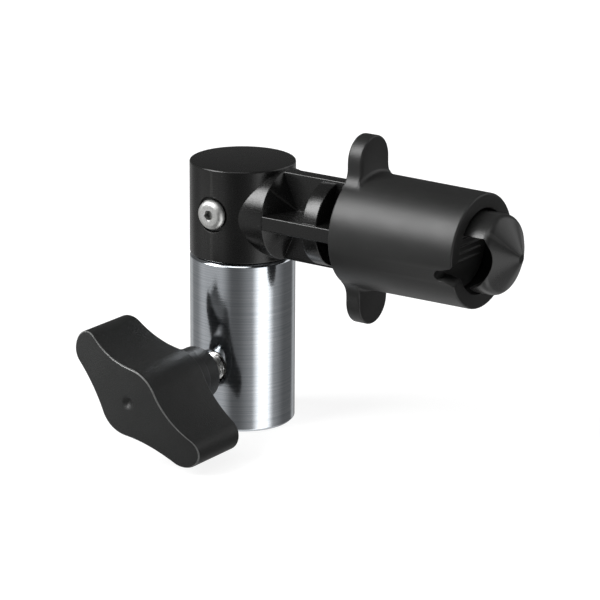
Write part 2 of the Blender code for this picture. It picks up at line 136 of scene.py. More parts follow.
PIN_HOLE_R = 1.5
SPRING_SEAT_R = 9.6
SPRING_SEAT_THICK = 0.8

# Local +Z of each placement is the axis that its pieces are turned about
POST = Matrix.Identity(4)
ARM_CENTRE = Matrix.Translation((0, 0, ARM_Z * MM))
ARM = ARM_CENTRE @ Matrix.Rotation(math.pi / 2, 4, "Y")
CLAMP = Matrix.Translation((0, 0, CLAMP_Z * MM)) @ Matrix.Rotation(math.pi / 2, 4, "X")
SCREW = Matrix.Translation((0, 0, SCREW_Z * MM)) @ Matrix.Rotation(math.pi / 2, 4, "X")
PIN = Matrix.Translation((PIN_X * MM, 0, ARM_Z * MM))
ACROSS = ARM_CENTRE @ Matrix.Rotation(math.pi / 2, 4, "X")     # outlines in X and Z, cut along Y

FINE = 180                # segments round a large turned piece
SMALL = 72                # round a small one
TINY = 48                 # and round a pin
QUARTER_TURN = math.pi / 2


# ---------------------------------------------------------------- shapes

def add_object(name, data, place):
    obj = bpy.data.objects.new(name, data)
    obj.matrix_world = place
    bpy.context.scene.collection.objects.link(obj)
    return obj


def arc(cx, cy, radius, start, end, steps):
    """Points on an arc, angles in degrees, both ends included."""
    angles = [math.radians(start + (end - start) * i / steps) for i in range(steps + 1)]
    return [(cx + radius * math.cos(a), cy + radius * math.sin(a)) for a in angles]


def rounded(corners, steps=5):
    """An outline through corners; one that has a third value is rounded to that radius."""
    points = []
    for i, corner in enumerate(corners):
        here = Vector(corner[:2])
        if len(corner) < 3:
            points.append(tuple(here))
            continue
        back = (Vector(corners[i - 1][:2]) - here).normalized()
        ahead = (Vector(corners[(i + 1) % len(corners)][:2]) - here).normalized()
        half = back.angle(ahead) / 2
        centre = here + (back + ahead).normalized() * corner[2] / math.sin(half)
        start = here + back * corner[2] / math.tan(half) - centre
        end = here + ahead * corner[2] / math.tan(half) - centre
        sweep = start.angle(end)
        for k in range(steps + 1):
            t = k / steps
            spoke = start * math.sin((1 - t) * sweep) + end * math.sin(t * sweep)
            points.append(tuple(centre + spoke / math.sin(sweep)))
    return points


def turned(name, profile, place, segments=FINE, ring=False):
    """A profile of (radius, height) turned about the placement's axis.

    The points run down the outer side; a ring's profile closes on itself."""
    mesh = bpy.data.meshes.new(name)
    points = [(radius * MM, 0.0, height * MM) for radius, height in profile]
    edges = [(i, i + 1) for i in range(len(points) - 1)]
    if ring:
        edges.append((len(points) - 1, 0))
    mesh.from_pydata(points, edges, [])
    obj = add_object(name, mesh, place)
    screw = obj.modifiers.new("turn", "SCREW")
    screw.steps = segments
    screw.render_steps = segments
    screw.use_merge_vertices = True
    screw.merge_threshold = 0.000002
    return obj


def bar(name, radius, low, high, place, edge, segments=SMALL):
    """A solid round bar with rounded ends."""
    profile = rounded([(0, high), (radius, high, edge), (radius, low, edge), (0, low)])
    return turned(name, profile, place, segments)


def washer(name, inner, outer, low, high, place, edge):
    corners = [(inner, high, edge), (outer, high, edge), (outer, low, edge), (inner, low, edge)]
    return turned(name, rounded(corners), place, SMALL, ring=True)


def block(name, low, high, bevel):
    """A box between two corners in the frame, with rounded edges."""
    mesh = bpy.data.meshes.new(name)
    shape = bmesh.new()
    bmesh.ops.create_cube(shape, size=1.0)
    size = [(b - a) * MM for a, b in zip(low, high)]
    centre = [(a + b) / 2 * MM for a, b in zip(low, high)]
    bmesh.ops.scale(shape, vec=size, verts=shape.verts)
    bmesh.ops.bevel(shape, geom=shape.edges[:], offset=bevel * MM, segments=4, profile=0.5, affect="EDGES")
    bmesh.ops.translate(shape, vec=centre, verts=shape.verts)
    shape.to_mesh(mesh)
    shape.free()
    return add_object(name, mesh, POST)


def plate(name, outline, low, high, place):
    """A flat outline, in the placement's X and Y, between two of its heights."""
    mesh = bpy.data.meshes.new(name)
    shape = bmesh.new()
    face = shape.faces.new([shape.verts.new((x * MM, y * MM, low * MM)) for x, y in outline])
    raised = bmesh.ops.extrude_face_region(shape, geom=[face])["geom"]
    corners = [v for v in raised if isinstance(v, bmesh.types.BMVert)]
    bmesh.ops.translate(shape, vec=(0, 0, (high - low) * MM), verts=corners)
    bmesh.ops.recalc_face_normals(shape, faces=shape.faces)
    shape.to_mesh(mesh)
    shape.free()
    return add_object(name, mesh, place)


def loft(name, rings, place, closed=False):
    """A skin through rings of equally many points: capped, or closed from last to first."""
    mesh = bpy.data.meshes.new(name)
    shape = bmesh.new()
    rows = [[shape.verts.new([c * MM for c in point]) for point in ring] for ring in rings]
    count = len(rows[0])
    following = rows[1:] + rows[:1] if closed else rows[1:]
    for row, other in zip(rows, following):
        for i in range(count):
            j = (i + 1) % count
            shape.faces.new((row[i], row[j], other[j], other[i]))
    if not closed:
        shape.faces.new(rows[0])
        shape.faces.new(rows[-1])
    bmesh.ops.recalc_face_normals(shape, faces=shape.faces)
    shape.to_mesh(mesh)
    shape.free()
    return add_object(name, mesh, place)


def combine(obj, operation, tools):
    """Boolean steps with tools that are used up."""
    for tool in tools:
        step = obj.modifiers.new(tool.name, "BOOLEAN")
        step.operation = operation
        step.solver = "EXACT"
        step.object = tool
    fix(obj)
    for tool in tools:
        bpy.data.objects.remove(tool, do_unlink=True)


def fix(obj):
    """Make the modifiers' result the object's own mesh."""
    bpy.context.view_layer.update()
    graph = bpy.context.evaluated_depsgraph_get()
    mesh = bpy.data.meshes.new_from_object(obj.evaluated_get(graph), depsgraph=graph)
    obj.modifiers.clear()
    obj.data = mesh


def cut(obj, *tools):
    combine(obj, "DIFFERENCE", tools)


def join(obj, *tools):
    combine(obj, "UNION", tools)


def place_piece(obj, node, body, material, sharp=30):
    """Shade a finished piece, and let it stand for its CAD node on that node's body."""
    fix(obj)
    obj.data.name = obj.name
    obj.data.shade_smooth()
    obj.data.set_sharp_from_angle(angle=math.radians(sharp))
    obj.data.materials.clear()
    obj.data.materials.append(material)
    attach(obj, body)
    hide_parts(node)
    return obj


# ---------------------------------------------------------------- materials

class Graph:
    """A material's node tree, with one short call for each kind of node."""

    def __init__(self, name):
        self.material = bpy.data.materials.new(name)
        self.material.use_nodes = True
        self.tree = self.material.node_tree
        self.shader = self.tree.nodes["Principled BSDF"]
        self.coords = self.tree.nodes.new("ShaderNodeTexCoord").outputs["Object"]
        self.geometry = self.tree.nodes.new("ShaderNodeNewGeometry")

    def put(self, socket, value):
        if isinstance(value, bpy.types.NodeSocket):
            self.tree.links.new(value, socket)
        else:
            socket.default_value = value

    def stretch(self, scale):
        """Object coordinates in features per millimetre along each axis."""
        node = self.tree.nodes.new("ShaderNodeMapping")
        self.put(node.inputs["Vector"], self.coords)
        node.inputs["Scale"].default_value = [s / MM for s in scale]
        return node.outputs["Vector"]

    def noise(self, scale, detail=4.0, rough=0.5):
        """Fractal noise; scale is features per millimetre, one number or one for each axis."""
        node = self.tree.nodes.new("ShaderNodeTexNoise")
        axes = scale if isinstance(scale, tuple) else (scale, scale, scale)
        self.put(node.inputs["Vector"], self.stretch(axes))
        node.inputs["Scale"].default_value = 1.0
        node.inputs["Detail"].default_value = detail
        node.inputs["Roughness"].default_value = rough
        return node.outputs["Fac"]

    def cells(self, scale):
        """Rounded pits and bumps; scale is cells per millimetre."""
        node = self.tree.nodes.new("ShaderNodeTexVoronoi")
        node.feature = "SMOOTH_F1"
        self.put(node.inputs["Vector"], self.stretch((scale, scale, scale)))
        node.inputs["Scale"].default_value = 1.0
        node.inputs["Smoothness"].default_value = 1.0
        return node.outputs["Distance"]

    def spread(self, value, low, high, to_low, to_high):
        """The value's stretch from low to high, carried to another range and held there."""
        node = self.tree.nodes.new("ShaderNodeMapRange")
        self.put(node.inputs["Value"], value)
        ends = {"From Min": low, "From Max": high, "To Min": to_low, "To Max": to_high}
        for name, number in ends.items():
            node.inputs[name].default_value = number
        return node.outputs["Result"]

    def sum(self, first, second, operation="ADD"):
        """Two values added, or joined by another operation."""
        node = self.tree.nodes.new("ShaderNodeMath")
        node.operation = operation
        self.put(node.inputs[0], first)
        self.put(node.inputs[1], second)
        return node.outputs[0]

    def tint(self, factor, first, second):
        """From one colour to another as the factor goes from 0 to 1.

        The node's colour sockets share their names with others, so they go by number."""
        node = self.tree.nodes.new("ShaderNodeMix")
        node.data_type = "RGBA"
        self.put(node.inputs["Factor"], factor)
        for socket, color in zip((node.inputs[6], node.inputs[7]), (first, second)):
            self.put(socket, (*color, 1.0) if isinstance(color, tuple) else color)
        return node.outputs[2]

    def edges(self):
        """1 along outer edges, where handling polishes or pales a piece."""
        return self.spread(self.geometry.outputs["Pointiness"], 0.52, 0.62, 0.0, 1.0)

    def bump(self, height, distance, normal=None):
        """Relief of a distance in millimetres as the height goes from 0 to 1."""
        node = self.tree.nodes.new("ShaderNodeBump")
        node.inputs["Strength"].default_value = 1.0
        node.inputs["Distance"].default_value = distance * MM
        self.put(node.inputs["Height"], height)
        if normal is not None:
            self.put(node.inputs["Normal"], normal)
        return node.outputs["Normal"]

    def attribute(self, name):
        """A value that the piece's own mesh carries."""
        node = self.tree.nodes.new("ShaderNodeAttribute")
        node.attribute_name = name
        return node.outputs["Fac"]

    def recess_shade(self, reach):
        """A mask for painted shade: 0 deep inside a recess and 1 in the open, looking as far as reach
        millimetres.
        """
        node = self.tree.nodes.new("ShaderNodeAmbientOcclusion")
        node.samples = 8
        node.inputs["Distance"].default_value = reach * MM
        return node.outputs["AO"]

    def soft_edges(self, radius):
        """Normals that turn gently across the welds between joined shapes."""
        node = self.tree.nodes.new("ShaderNodeBevel")
        node.samples = 6
        node.inputs["Radius"].default_value = radius * MM
        return node.outputs["Normal"]

    def finish(self, color, roughness, normal, metallic=0.0, specular=0.5):
        """Join the values to the shader and hand over the material."""
        self.put(self.shader.inputs["Base Color"], color)
        self.put(self.shader.inputs["Roughness"], roughness)
        self.put(self.shader.inputs["Normal"], normal)
        self.shader.inputs["Metallic"].default_value = metallic
        self.shader.inputs["Specular IOR Level"].default_value = specular
        return self.material


def chrome():
    """Turned steel under chrome: fine rings round the post and a faint handling haze."""
    g = Graph("chrome")
    rings = g.noise((0.015, 0.015, 2.4), detail=2.0, rough=0.7)
    haze = g.noise(0.16, detail=5.0, rough=0.6)
    normal = g.bump(rings, 0.011)
    rough = g.sum(g.spread(haze, 0.35, 0.7, 0.09, 0.15), g.spread(rings, 0.3, 0.7, 0.0, 0.05))
    color = g.tint(g.spread(rings, 0.35, 0.65, 0.0, 1.0), (0.61, 0.65, 0.69), (0.73, 0.76, 0.8))
    return g.finish(color, rough, normal, metallic=1.0)


def steel(name, tone, scale, dullness):
    """Bright zinc on steel: slightly mottled, with rubbed edges and painted shade darkening its recesses."""
    g = Graph(name)
    mottle = g.noise(scale, detail=5.0, rough=0.65)
    rub = g.noise(0.3, detail=3.0)
    dull = (tone * 0.86, tone * 0.87, tone * 0.86)
    bright = (tone * 1.15, tone * 1.15, tone * 1.12)
    color = g.tint(g.spread(mottle, 0.3, 0.7, 0.0, 1.0), dull, bright)
    color = g.tint(g.sum(g.edges(), 0.5, "MULTIPLY"), color, (0.85, 0.85, 0.84))
    # painted shade: the colour goes near black deep in recesses, such as the screw's socket
    color = g.tint(g.spread(g.recess_shade(1.6), 0.25, 0.7, 0.0, 1.0), (0.035, 0.033, 0.03), color)
    rough = g.spread(mottle, 0.3, 0.7, dullness, dullness + 0.14)
    rough = g.sum(rough, g.spread(rub, 0.4, 0.7, 0.0, 0.08))
    return g.finish(color, rough, g.bump(mottle, 0.012), metallic=1.0)


def wire():
    """Drawn spring wire with its lubricant's dark film."""
    g = Graph("spring_wire")
    film = g.noise(0.9, detail=4.0)
    drawn = g.noise((6.0, 6.0, 0.8), detail=2.0)
    color = g.tint(g.spread(film, 0.35, 0.65, 0.0, 1.0), (0.33, 0.33, 0.33), (0.56, 0.56, 0.55))
    return g.finish(color, g.spread(drawn, 0.3, 0.7, 0.24, 0.4), g.bump(drawn, 0.006), metallic=1.0)


def brass():
    """Machined brass with turning marks and a little tarnish."""
    g = Graph("machined_brass")
    marks = g.noise((0.2, 0.2, 7.0), detail=2.0)
    tarnish = g.noise(0.7, detail=5.0)
    color = g.tint(g.spread(tarnish, 0.4, 0.75, 0.0, 1.0), (0.78, 0.58, 0.27), (0.48, 0.33, 0.14))
    return g.finish(color, g.spread(tarnish, 0.3, 0.7, 0.24, 0.42), g.bump(marks, 0.006), metallic=1.0)


def nylon():
    """Unfilled nylon, with the faint flow marks of its moulding."""
    g = Graph("natural_nylon")
    flow = g.noise(0.8, detail=4.0)
    color = g.tint(g.spread(flow, 0.3, 0.7, 0.0, 1.0), (0.74, 0.72, 0.66), (0.82, 0.81, 0.77))
    return g.finish(color, g.spread(flow, 0.3, 0.7, 0.42, 0.55), g.bump(g.noise(5.0), 0.006))


def nitrile():
    """Rubber with a pale bloom of grease."""
    g = Graph("nitrile")
    bloom = g.noise(1.2, detail=5.0)
    color = g.tint(g.spread(bloom, 0.4, 0.7, 0.0, 1.0), (0.014, 0.014, 0.014), (0.034, 0.034, 0.035))
    return g.finish(color, g.spread(bloom, 0.3, 0.7, 0.55, 0.75), g.bump(g.noise(6.0), 0.01))


def black_moulding(name, color, pale, roughness, grain, relief, soft=0.22, marked=False):
    """Black plastic: moulded grain, cloudy gloss, specks of dust and paler edges.

    The paler edges are the outer ones, worn, or where marked, those that the mesh names, worn and painted
    with a highlight."""
    g = Graph(name)
    cloud = g.noise(0.12, detail=4.0, rough=0.6)
    fine = g.noise(grain, detail=3.0, rough=0.6)
    dust = g.spread(g.noise(1.7, detail=2.0), 0.74, 0.78, 0.0, 0.14)
    tone = g.tint(g.spread(cloud, 0.3, 0.7, 0.0, 1.0), color, tuple(c * 1.25 for c in color))
    wear_and_highlight = g.attribute("wear_and_highlight") if marked else g.edges()
    # paler edges: wear, and where the mesh marks them, a painted highlight
    tone = g.tint(g.sum(wear_and_highlight, 0.8, "MULTIPLY"), tone, pale)
    tone = g.tint(dust, tone, (0.16, 0.16, 0.15))
    low, high = roughness
    rough = g.sum(g.spread(cloud, 0.3, 0.7, low, high), g.spread(fine, 0.3, 0.7, -0.03, 0.03))
    normal = g.bump(fine, relief, normal=g.soft_edges(soft))
    return g, tone, rough, normal


def gloss_black():
    """The head's gloss moulding, with faint scuffs along the arm."""
    g, tone, rough, normal = black_moulding(
        "gloss_black", (0.007, 0.0071, 0.0069), (0.03, 0.03, 0.029), (0.2, 0.3), 2.2, 0.012)
    scuffs = g.noise((0.25, 5.0, 5.0), detail=2.0, rough=0.7)
    rough = g.sum(rough, g.spread(scuffs, 0.55, 0.75, 0.0, 0.12))
    normal = g.bump(scuffs, 0.006, normal=normal)
    return g.finish(tone, rough, normal)


def tip_black():
    """The hook tip's black, a little softer than the head's."""
    g, tone, rough, normal = black_moulding(
        "tip_black", (0.015, 0.0152, 0.0149), (0.04, 0.04, 0.039), (0.27, 0.36), 2.6, 0.014)
    return g.finish(tone, rough, normal)


def satin_black():
    """The collar's fine spark-eroded satin."""
    g, tone, rough, normal = black_moulding(
        "satin_black", (0.013, 0.0132, 0.0129), (0.045, 0.045, 0.044), (0.4, 0.47), 5.5, 0.016)
    return g.finish(tone, rough, normal)


def textured_black():
    """The knob's coarser matt texture, polished along its front edge and paled there as a painted highlight.
    """
    # the pale edge colour along the front edge is wear and a painted highlight
    g, tone, rough, normal = black_moulding(
        "textured_black", (0.015, 0.0156, 0.0153), (0.2, 0.203, 0.2), (0.44, 0.53), 3.4, 0.02,
        soft=0.08, marked=True)
    pits = g.cells(3.2)
    rough = g.sum(rough, g.spread(pits, 0.1, 0.6, -0.04, 0.06))
    rough = g.sum(rough, g.sum(g.attribute("wear_and_highlight"), -0.22, "MULTIPLY"))
    normal = g.bump(pits, 0.045, normal=normal)
    return g.finish(tone, rough, normal, specular=0.42)


# ---------------------------------------------------------------- stand sleeve and spigot

def stand_sleeve():
    """Sleeve with a rounded chamfer at each end and a countersunk screw hole."""
    chamfer = 0.7
    mouth = 0.8
    corners = [(SEAT_R, SLEEVE_TOP, 0.1), (POST_R - chamfer, SLEEVE_TOP, 0.25),
               (POST_R, SLEEVE_TOP - chamfer, 0.4), (POST_R, chamfer, 0.4), (POST_R - chamfer, 0, 0.25),
               (SOCKET_R + mouth, 0, 0.25), (SOCKET_R, mouth, 0.4), (SOCKET_R, SOCKET_DEPTH),
               (SEAT_R, SOCKET_DEPTH)]
    sleeve = turned("sleeve", rounded(corners), POST, 240, ring=True)
    hole_r = STUD_R + GAP
    flare_r, flare_low, flare_high = hole_r + 0.6, POST_R - 1.0, POST_R - 0.2
    outside, inside = 20.0, 5.0       # well past both faces of the wall
    hole = [(0, outside), (flare_r, outside), (flare_r, flare_high), (hole_r, flare_low),
            (hole_r, inside), (0, inside)]
    cut(sleeve, turned("hole", hole, CLAMP, SMALL))
    return sleeve


def pivot_spigot():
    """Turned plug: flange, journal with its two grooves, and a faced lower end."""
    groove_r, groove_half = 6.0, 2.5
    seal_r, seal_low, seal_high = 6.2, 62.6, 64.4
    flange_r = SEAT_R - GAP
    pilot_r = SOCKET_R - GAP
    dish_r, dish_depth = 1.6, 0.5
    corners = [(0, SPIGOT_TOP), (JOURNAL_R, SPIGOT_TOP, 0.6), (JOURNAL_R, seal_high, 0.15),
               (seal_r, seal_high), (seal_r, seal_low), (JOURNAL_R, seal_low, 0.15),
               (JOURNAL_R, SCREW_Z + groove_half, 0.2), (groove_r, SCREW_Z + groove_half, 0.3),
               (groove_r, SCREW_Z - groove_half, 0.3), (JOURNAL_R, SCREW_Z - groove_half, 0.2),
               (JOURNAL_R, SLEEVE_TOP, 0.2), (flange_r, SLEEVE_TOP, 0.2),
               (flange_r, SOCKET_DEPTH + GAP, 0.2), (pilot_r, SOCKET_DEPTH + GAP, 0.2),
               (pilot_r, CEILING_Z, 0.3), (dish_r, CEILING_Z, 0.1), (0, CEILING_Z + dish_depth)]
    return turned("spigot", rounded(corners), POST, 120)


def friction_ring():
    centre_r, groove_z, cord_r = 7.0, 63.5, 0.5
    section = arc(centre_r, groove_z, cord_r, 90, -270, 16)[:-1]
    return turned("o_ring", section, POST, 96, ring=True)


def thrust_washer():
    inner, outer, low, high = JOURNAL_R + 0.35, 11.0, SLEEVE_TOP + GAP, SLEEVE_TOP + 1.3
    return washer("swivel_washer", inner, outer, low, high, POST, 0.15)


# ---------------------------------------------------------------- clamp screw and knob

def clamp_pad():
    """Shoe with a stem that turns in the stud's end."""
    disc_r, face, back = 3.0, SOCKET_R + 0.2, 9.7
    stem_r, stem_end = 1.3, 12.0
    corners = [(0, stem_end), (stem_r, stem_end, 0.2), (stem_r, back, 0.15), (disc_r, back, 0.15),
               (disc_r, face, 0.35), (0, face)]
    return turned("clamp_shoe_pad", rounded(corners), CLAMP, SMALL)


def hexagon_radius(angle, across_flats):
    """Distance from the centre to a hexagon's side, which is flat towards 30 degrees."""
    sector = math.pi / 3
    return across_flats / 2 / math.cos(angle % sector - sector / 2)


def thread_radius(angle, height):
    """Profile of a metric thread: flat crests, straight flanks and flat roots.

    Across half a pitch, from the root's middle at 0 to the crest's at 1, the flank ends
    an eighth short of the crest's middle and a quarter past the root's."""
    crest_edge, root_edge = 0.875, 0.25
    phase = (height / THREAD_PITCH - angle / (2 * math.pi)) % 1.0
    along = abs(phase - 0.5) * 2
    fall = (crest_edge - along) / (crest_edge - root_edge)
    return STUD_R - THREAD_DEPTH * min(max(fall, 0.0), 1.0)


def clamp_stud():
    """M8 stud with a real helical thread, a socket for the pad's stem and a hexagon head."""
    inner_end = 10.0
    socket_r, socket_end = 1.6, 12.4
    sides = 60
    steps_in_pitch = 12
    angles = [2 * math.pi * i / sides for i in range(sides)]

    def ring(height, radius_at):
        radii = [radius_at(a) for a in angles]
        return [(r * math.cos(a), r * math.sin(a), height) for r, a in zip(radii, angles)]

    root = STUD_R - THREAD_DEPTH
    rings = [ring(socket_end, lambda a: 0.05), ring(socket_end - 0.4, lambda a: socket_r)]
    rings += [ring(inner_end + 0.15, lambda a: socket_r), ring(inner_end, lambda a: socket_r + 0.15)]
    length = HEX_LOW - inner_end
    count = int(length / THREAD_PITCH * steps_in_pitch)
    for i in range(count):
        height = inner_end + length * i / count
        crest = root + (height - inner_end) * 0.9       # the thread starts out of a bevelled end
        rings.append(ring(height, lambda a: min(thread_radius(a, height), max(crest, root))))
    chamfer = 0.3
    for height, inset in ((HEX_LOW, chamfer), (HEX_LOW + chamfer, 0.0),
                          (HEX_HIGH - chamfer, 0.0), (HEX_HIGH, chamfer)):
        rings.append(ring(height, lambda a: hexagon_radius(a, HEX_FLATS - 2 * inset)))
    return loft("threaded_stud", rings, CLAMP)


def knob_outline(steps):
    """A round hub drawn out into two wings by arcs tangent to hub and wing tips."""
    hub_r, tip_r, reach, hollow_r = 9.2, 4.3, 19.0, 30.0
    cx = ((hub_r + hollow_r) ** 2 - (tip_r + hollow_r) ** 2 + reach ** 2) / (2 * reach)
    cy = math.sqrt((hub_r + hollow_r) ** 2 - cx ** 2)
    hub_angle = math.degrees(math.atan2(cy, cx))
    tip_angle = math.degrees(math.atan2(cy, cx - reach))
    quarter = arc(reach, 0, tip_r, 0, tip_angle, steps)
    quarter += arc(cx, cy, hollow_r, tip_angle - 180, hub_angle - 180, steps)[1:]
    quarter += arc(0, 0, hub_r, hub_angle, 90, steps // 2)[1:]
    half = quarter + [(-x, y) for x, y in reversed(quarter[:-1])]
    return half + [(-x, -y) for x, y in half[1:-1]]


def knob_grip():
    """Wing knob in one skin: dimple, crowned face, sides, back, boss, and the stud's pocket."""
    crown = 3.6
    half_length = 22.0
    edge = 0.38
    back_edge = 0.9
    dimple_r, dimple_depth = 1.95, 0.85
    outline = knob_outline(20)

    def turn(u, v, height):
        """The wings' long axis is tilted about the screw's axis."""
        return (u * math.cos(KNOB_TILT) - v * math.sin(KNOB_TILT),
                u * math.sin(KNOB_TILT) + v * math.cos(KNOB_TILT), height)

    def section(inset, setback, crowned=True, share=1.0):
        """The outline drawn in by inset; share leads from the dimple's rim, 0, out to it, 1."""
        points = []
        for x, y in outline:
            length = math.hypot(x, y)
            k = (dimple_r + (length - inset - dimple_r) * share) / length
            fall = crown * (x * k / half_length) ** 2 if crowned else 0.0
            points.append(turn(x * k, y * k, setback - fall))
        return points

    def circle(height, radius_at):
        angles = [math.atan2(y, x) for x, y in outline]
        return [turn(radius_at(a) * math.cos(a), radius_at(a) * math.sin(a), height) for a in angles]

    rings = []
    for k in range(10):                                 # the dimple's soft cup
        t = k / 9
        depth = dimple_depth * (1 + math.cos(math.pi * t)) / 2
        rings.append(circle(KNOB_FACE - depth, lambda a: 0.1 + (dimple_r - 0.1) * t))
    rings += [section(edge, KNOB_FACE, share=k / 14) for k in range(1, 15)]
    first_wear_and_highlight = len(rings) * len(outline)
    for k in range(1, 7):                               # front edge
        a = QUARTER_TURN * k / 6
        rings.append(section(edge * (1 - math.sin(a)), KNOB_FACE - edge * (1 - math.cos(a))))
    last_wear_and_highlight = (len(rings) - 1) * len(outline)
    for k in range(7):                                  # back edge
        a = QUARTER_TURN * k / 6
        inset = back_edge * (1 - math.cos(a))
        rings.append(section(inset, KNOB_BACK + back_edge * (1 - math.sin(a)), crowned=False))
    boss_root, boss_waist, boss_tip = 7.6, 7.2, 7.25
    fillet = 0.8
    for k in range(6):                                  # fillet from the back into the boss
        a = QUARTER_TURN * k / 5
        radius = boss_root + fillet * (1 - math.sin(a))
        rings.append(circle(KNOB_BACK - fillet * (1 - math.cos(a)), lambda _, r=radius: r))
    step = 24.4                                         # where the boss narrows a little
    hole_r = STUD_R + GAP
    boss = [(boss_root, step + 0.35), (boss_root - 0.12, step + 0.1), (boss_waist + 0.05, step - 0.15),
            (boss_waist, step - 0.4), (boss_tip, KNOB_BOSS_END + 0.5),
            (boss_tip - 0.1, KNOB_BOSS_END + 0.2), (boss_tip - 0.4, KNOB_BOSS_END),
            (hole_r + 0.3, KNOB_BOSS_END), (hole_r, KNOB_BOSS_END + 0.3), (hole_r, HEX_LOW - GAP)]
    rings += [circle(height, lambda _, r=radius: r) for radius, height in boss]
    for height in (HEX_LOW - GAP, HEX_HIGH + GAP):
        rings.append(circle(height, lambda a: hexagon_radius(a - KNOB_TILT, HEX_FLATS + 2 * GAP)))
    knob = loft("wing_knob", rings, CLAMP)
    wear_and_highlight = knob.data.attributes.new("wear_and_highlight", "FLOAT", "POINT")
    # the marked band is paled: wear, and a painted highlight along the front edge
    for i in range(first_wear_and_highlight, last_wear_and_highlight):              # handling has polished the front edge
        wear_and_highlight.data[i].value = 1.0
    return knob


# ---------------------------------------------------------------- swivel head and its arm

def arm_core():
    """Boss, cone, disc and end core of the arm, turned about its axis."""
    neck_r, cone_end, buried = 1.5, 19.5, 4.0
    disc_r, disc_rear, disc_front = 11.2, 26.5, 31.0
    corners = [(0, ARM_END), (CORE_R, ARM_END, 0.35), (CORE_R, disc_front, 0.5), (disc_r, disc_front, 0.3),
               (disc_r, disc_rear, 0.3), (neck_r, disc_rear), (neck_r, cone_end),
               (BOSS_R, BOSS_END, 0.3), (BOSS_R, buried), (0, buried)]
    return turned("arm_core", rounded(corners), ARM, 144)


def arm_ribs():
    """The crossed ribs; their ends differ a little, so that no faces coincide."""
    half, edge = RIB_THICK / 2, 0.3
    upright = block("upright", (8.0, -half, ARM_Z - RIB_HALF), (ARM_END - 0.3, half, ARM_Z + RIB_HALF), edge)
    level = block("level", (8.5, -RIB_HALF, ARM_Z - half), (ARM_END - 0.5, RIB_HALF, ARM_Z + half), edge)
    return upright, level


def swivel_head():
    """Head, boss and arm as one moulding, cut for the spigot, the screw and the rod."""
    corners = [(0, HEAD_TOP), (POST_R, HEAD_TOP, 0.5), (POST_R, HEAD_LOW, 0.3), (0, HEAD_LOW)]
    head = turned("head_moulding", rounded(corners), POST, FINE)
    join(head, arm_core())
    join(head, *arm_ribs())
    bore_r, bore_top, below = JOURNAL_R + GAP, SPIGOT_TOP + 0.5, 44.0
    washer_r, washer_top = 11.4, 47.8
    bore = [(0, bore_top), (bore_r, bore_top), (bore_r, washer_top), (washer_r, washer_top),
            (washer_r, below), (0, below)]
    outside, inside = POST_R + 4.0, 5.0
    seat_r, flare_r = 4.6, 4.8
    shank_r, insert_r, insert_end = 2.35, 3.5, 12.3
    seat = [(0, outside), (flare_r, outside), (flare_r, POST_R - 0.2), (seat_r, POST_R - 0.6),
            (seat_r, SCREW_SEAT), (shank_r, SCREW_SEAT), (shank_r, insert_end), (insert_r, insert_end),
            (insert_r, inside), (0, inside)]
    hole_r, hole_front, hole_rear = ROD_R + GAP, ARM_END + 2, ROD_REAR - GAP
    hole = [(0, hole_front), (hole_r, hole_front), (hole_r, hole_rear), (0, hole_rear)]
    cut(head, turned("bore", bore, POST, 96))
    cut(head, turned("seat", seat, SCREW, SMALL))
    cut(head, turned("rod_hole", hole, ARM, SMALL))
    return head


def retaining_screw():
    """Button-head screw with a hexagon socket, whose end rides in the spigot's groove."""
    seat = SCREW_SEAT + GAP
    head_r, head_height, flat_r = 4.0, 2.0, 2.5
    rim = 0.35                # the straight side below the dome
    top = seat + head_height
    shank_r, shank_end, point_r, point_end = 2.0, 7.1, 1.6, 6.6
    sweeps = [QUARTER_TURN * k / 12 for k in range(13)]
    dome = [(flat_r + (head_r - flat_r) * math.sin(t), seat + rim + (head_height - rim) * math.cos(t))
            for t in sweeps]
    shank = rounded([(head_r, seat + 0.2), (head_r, seat, 0.1), (shank_r, seat, 0.1),
                     (shank_r, shank_end, 0.3), (point_r, point_end, 0.2)])
    screw = turned("button_screw", [(0, top), *dome, *shank, (0, point_end)], SCREW, 96)
    across_flats, floor_above_seat, turned_by = 2.5, 0.4, 8
    corner_r = across_flats / 2 / math.cos(math.pi / 6)
    hexagon = arc(0, 0, corner_r, turned_by, turned_by + 300, 5)
    lead_in = [(0, top + 1), (corner_r + 0.95, top + 1), (corner_r - 0.15, top - 0.1), (0, top - 0.4)]
    cut(screw, plate("socket", hexagon, seat + floor_above_seat, top + 1, SCREW))
    cut(screw, turned("lead_in", lead_in, SCREW, SMALL))
    return screw


def screw_insert():
    inner, outer, low, high = 2.3, 3.2, 8.3, 12.0
    return washer("thread_insert", inner, outer, low, high, SCREW, 0.15)


# ---------------------------------------------------------------- spring clip

def pin_hole(name):
    reach = POST_R
    return bar(name, PIN_HOLE_R, -reach, reach, PIN, 0.1, TINY)


def core_rod():
    rod = bar("slide_rod", ROD_R, ROD_REAR, ROD_FRONT, ARM, 0.4)
    cut(rod, pin_hole("rod_pin_hole"))
    return rod


def tip_pin():
    radius, half_length = 1.2, 9.6
    return bar("tip_cross_pin", radius, -half_length, half_length, PIN, 0.25, TINY)


def spring_seat(name, low):
    return washer(name, ROD_R + GAP, SPRING_SEAT_R, low, low + SPRING_SEAT_THICK, ARM, 0.15)


def spring_seat_rear():
    return spring_seat("rear_spring_seat", ARM_END + GAP)


def spring_seat_front():
    return spring_seat("front_spring_seat", WEB_REAR - GAP - SPRING_SEAT_THICK)


